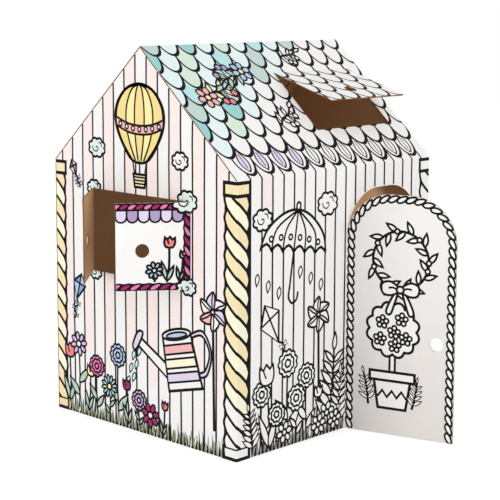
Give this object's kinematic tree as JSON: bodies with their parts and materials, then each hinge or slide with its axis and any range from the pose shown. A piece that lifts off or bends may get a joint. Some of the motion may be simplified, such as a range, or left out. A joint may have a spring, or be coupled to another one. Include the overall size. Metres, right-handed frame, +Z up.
{
  "type": "cardboard playhouse",
  "caption": "Gabled playhouse folded from one corrugated-card sheet, with an arched door, window shutters and a skylight flap that swing on creases.",
  "frame": {"origin": "middle of the walls' outline on the floor", "axes": "+Z up, -Y out of the door wall, -X out of the window gable"},
  "size_m": [1.0979, 1.1775, 1.219],
  "materials": {
    "printed_white_board": "matte white liner with line print outside, brown kraft liner inside"
  },
  "bodies": {
    "house": {"house_shell": "printed_white_board"},
    "door": {"door": "printed_white_board"},
    "left_shutter": {"left_shutter": "printed_white_board"},
    "right_shutter": {"right_shutter": "printed_white_board"},
    "skylight_flap": {"skylight_flap": "printed_white_board"}
  },
  "joints": [
    {"name": "door_crease", "type": "hinge", "parent": "house", "child": "door", "pos_m": [0.038, -0.415, 0.38], "axis": [0, 0, -1], "range_deg": [-74, 91]},
    {"name": "left_shutter_crease", "type": "hinge", "parent": "house", "child": "left_shutter", "pos_m": [-0.46, 0.23, 0.6275], "axis": [0, 0, -1], "range_deg": [-48, 117]},
    {"name": "right_shutter_crease", "type": "hinge", "parent": "house", "child": "right_shutter", "pos_m": [-0.46, -0.222, 0.6275], "axis": [0, 0, 1], "range_deg": [-52, 113]},
    {"name": "skylight_crease", "type": "hinge", "parent": "house", "child": "skylight_flap", "pos_m": [0.2105, -0.10412, 1.12441], "axis": [-1, 0, 0], "range_deg": [-25, 120]}
  ]
}
